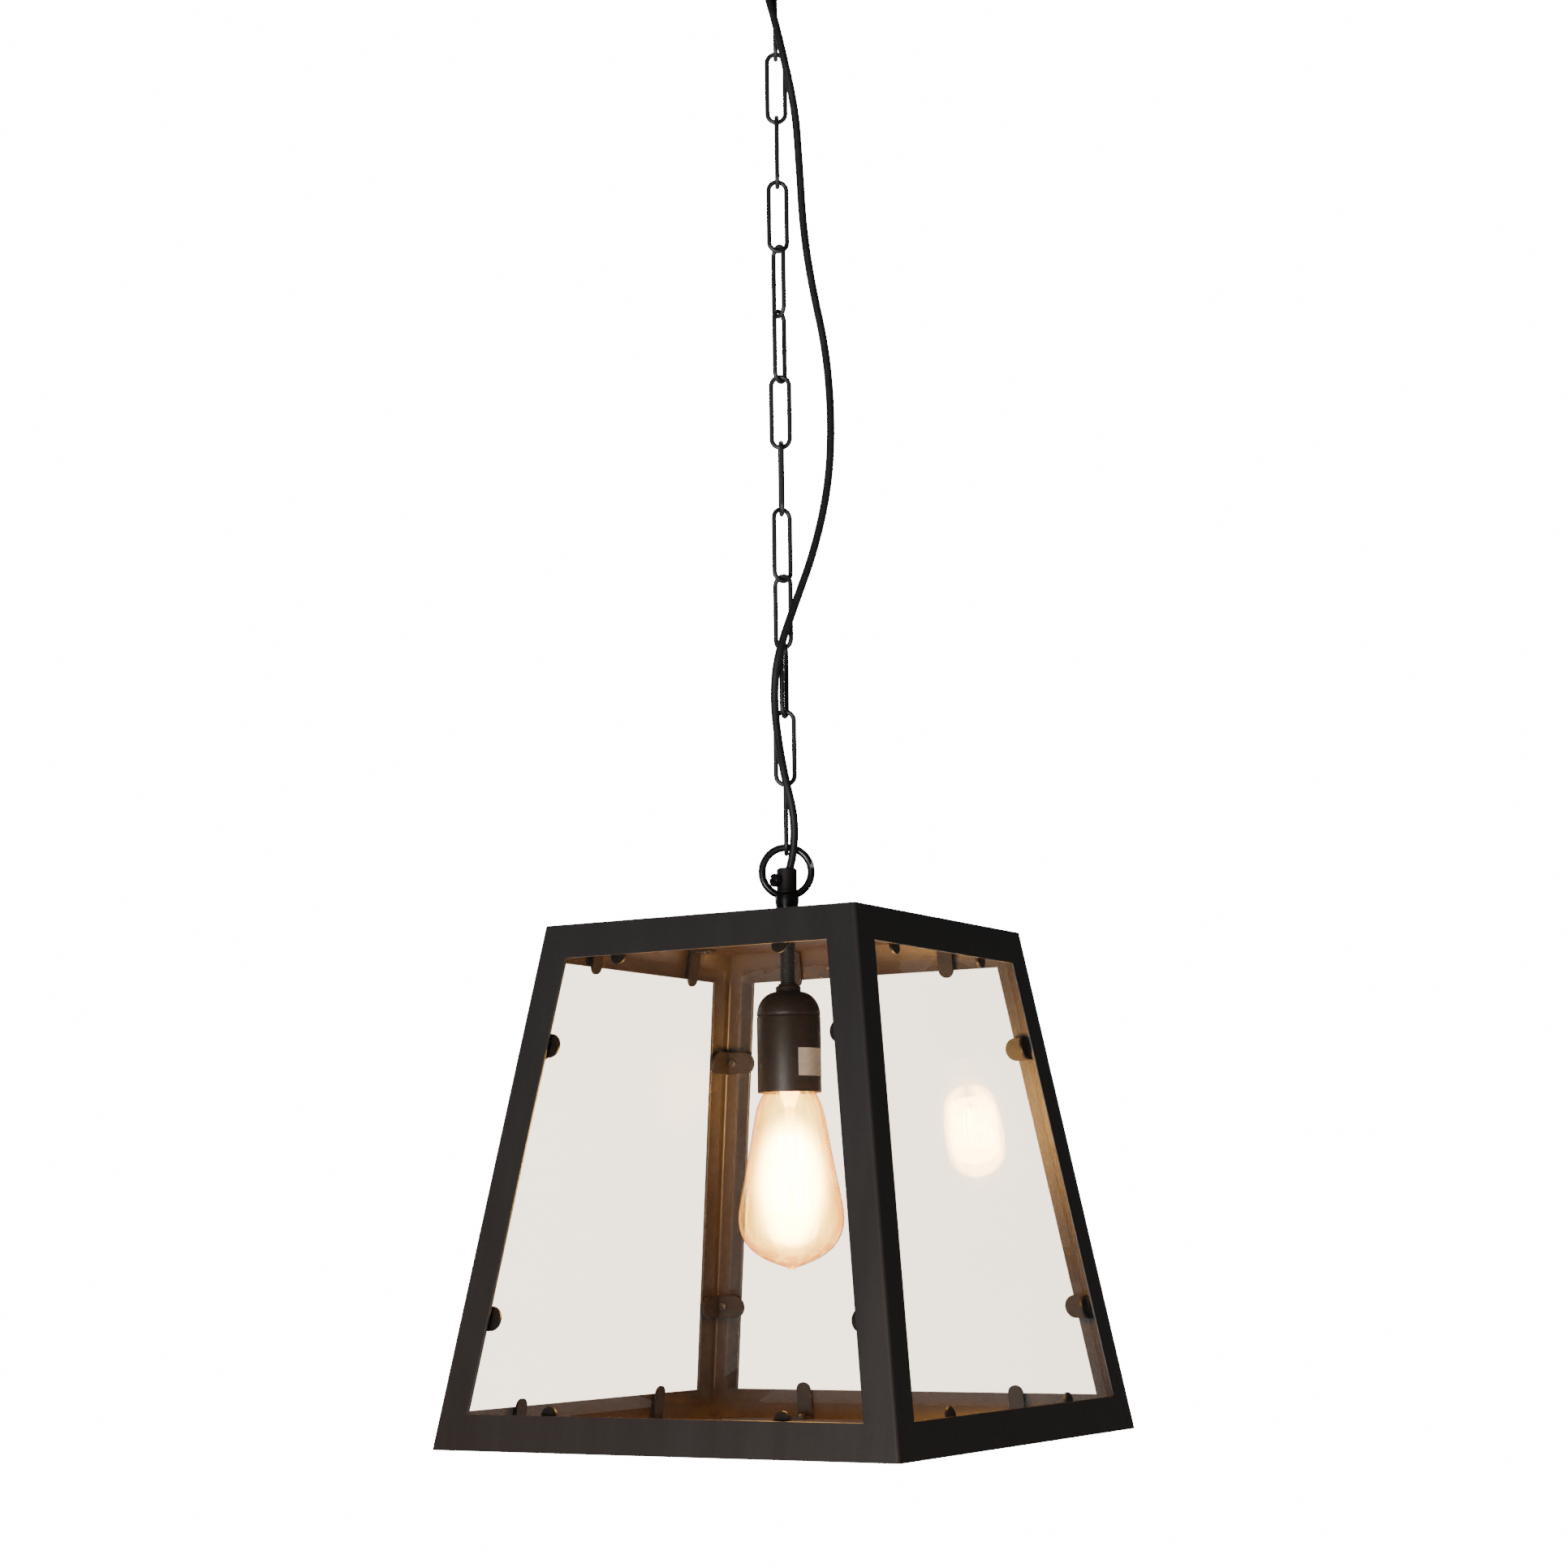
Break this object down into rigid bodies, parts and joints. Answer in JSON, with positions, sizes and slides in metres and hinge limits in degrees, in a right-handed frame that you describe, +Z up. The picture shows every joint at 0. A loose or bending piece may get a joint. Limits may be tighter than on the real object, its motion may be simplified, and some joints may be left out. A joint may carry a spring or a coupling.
{
  "type": "hanging lantern",
  "caption": "Tapering four-sided glass lantern of dark angle iron, hung from a ceiling canopy by a link chain, with a filament bulb and a supply cord.",
  "frame": {"origin": "on the ceiling, over the middle of the lantern, at the ceiling strap's top face", "axes": "+Z up; -Y out of the wide front face; +X to the right when facing that face"},
  "size_m": [0.302, 0.302, 0.97],
  "materials": {
    "frame_iron": "satin charcoal paint with a little grain",
    "plate_iron": "satin dark paint",
    "pane_glass": "clear",
    "clip_steel": "satin dark paint",
    "screw_steel": "darkened",
    "chain_iron": "satin black paint",
    "hub_black": "glossy black paint, rubbed at the ring",
    "grip_plastic": "fine satin",
    "thumb_steel": "satin black",
    "cord_rubber": "smooth satin",
    "terminal_plastic": "pale",
    "strap_steel": "plated",
    "canopy_iron": "satin charcoal paint",
    "holder_plastic": "semi-gloss black",
    "holder_core": "pale ceramic look",
    "contact_brass": "bright",
    "label_film": "plain film",
    "bulb_insulator": "vitrified black",
    "cap_brass": "bright",
    "mount_glass": "clear",
    "amber_glass": "clear amber tint",
    "filament_wire": "glowing",
    "support_wire": "bright wire"
  },
  "bodies": {
    "canopy": {"ceiling_strap": "strap_steel", "canopy": "canopy_iron", "hook": "chain_iron", "hook_nut": "screw_steel", "cord_gland": "grip_plastic", "terminal_block": "terminal_plastic"},
    "top_link": {"chain_link_13": "chain_iron"},
    "second_link": {"chain_link_12": "chain_iron"},
    "chain": {"chain_link_02": "chain_iron", "chain_link_03": "chain_iron", "chain_link_04": "chain_iron", "chain_link_05": "chain_iron", "chain_link_06": "chain_iron", "chain_link_07": "chain_iron", "chain_link_08": "chain_iron", "chain_link_09": "chain_iron", "chain_link_10": "chain_iron", "chain_link_11": "chain_iron", "supply_cord": "cord_rubber"},
    "bottom_link": {"chain_link_01": "chain_iron"},
    "grip_screw": {"thumb_screw": "thumb_steel"},
    "bulb_foot": {"bulb_foot": "bulb_insulator"},
    "bulb": {"bulb_cap": "cap_brass", "bulb_mount": "mount_glass", "bulb_glass": "amber_glass", "bulb_filament": "filament_wire", "filament_supports": "support_wire"},
    "lantern": {"cord_in_stem": "cord_rubber", "loop_hub": "hub_black", "cord_grip": "grip_plastic", "stem": "screw_steel", "stem_nut": "screw_steel", "top_plate": "plate_iron", "corner_clips_upper": "clip_steel", "corner_clips_lower": "clip_steel", "top_rail_clips": "clip_steel", "bottom_rail_clips": "clip_steel", "clip_screws": "screw_steel", "holder_cap": "holder_plastic", "holder_skirt": "holder_plastic", "holder_insert": "holder_core", "thread_shell": "contact_brass", "centre_contact": "contact_brass", "holder_label": "label_film", "top_rail_front": "frame_iron", "bottom_rail_front": "frame_iron", "glass_front": "pane_glass", "top_rail_right": "frame_iron", "bottom_rail_right": "frame_iron", "glass_right": "pane_glass", "top_rail_back": "frame_iron", "bottom_rail_back": "frame_iron", "glass_back": "pane_glass", "top_rail_left": "frame_iron", "bottom_rail_left": "frame_iron", "glass_left": "pane_glass", "post_front_right": "frame_iron", "post_back_right": "frame_iron", "post_back_left": "frame_iron", "post_front_left": "frame_iron"}
  },
  "joints": [
    {"name": "hook_swing", "type": "hinge", "parent": "canopy", "child": "top_link", "pos_m": [0, 0, -0.07575], "axis": [0.8635, 0.5044, 0], "range_deg": [-25, 25], "deforming": ["supply_cord"]},
    {"name": "upper_swing", "type": "hinge", "parent": "top_link", "child": "second_link", "pos_m": [0, 0, -0.1174], "axis": [0.5044, -0.8635, 0], "range_deg": [-25, 25], "deforming": ["supply_cord"]},
    {"name": "chain_twist", "type": "hinge", "parent": "second_link", "child": "chain", "pos_m": [0, 0, -0.1596], "axis": [0, 0, 1], "range_deg": [-20, 20], "deforming": ["supply_cord"]},
    {"name": "lower_swing", "type": "hinge", "parent": "chain", "child": "bottom_link", "pos_m": [0, 0, -0.5816], "axis": [0.8635, 0.5044, 0], "range_deg": [-25, 25], "deforming": ["supply_cord"]},
    {"name": "lantern_swing", "type": "hinge", "parent": "bottom_link", "child": "lantern", "pos_m": [0, 0, -0.6238], "axis": [0.5044, -0.8635, 0], "range_deg": [-25, 25], "deforming": ["supply_cord"]},
    {"name": "grip_screw_turn", "type": "hinge", "parent": "lantern", "child": "grip_screw", "pos_m": [0, 0, -0.6405], "axis": [-0.4495, -0.8933, 0], "range_deg": [0, 360]},
    {"name": "bulb_travel", "type": "slide", "parent": "lantern", "child": "bulb_foot", "axis": [0, 0, -1], "range_m": [0, 0.0145]},
    {"name": "bulb_turn", "type": "hinge", "parent": "bulb_foot", "child": "bulb", "pos_m": [0, 0, -0.75], "axis": [0, 0, -1], "range_deg": [0, 1440]}
  ],
  "couplings": [
    {"joint": "bulb_travel", "follows": "bulb_turn", "m_per_rad": 0.000576}
  ]
}
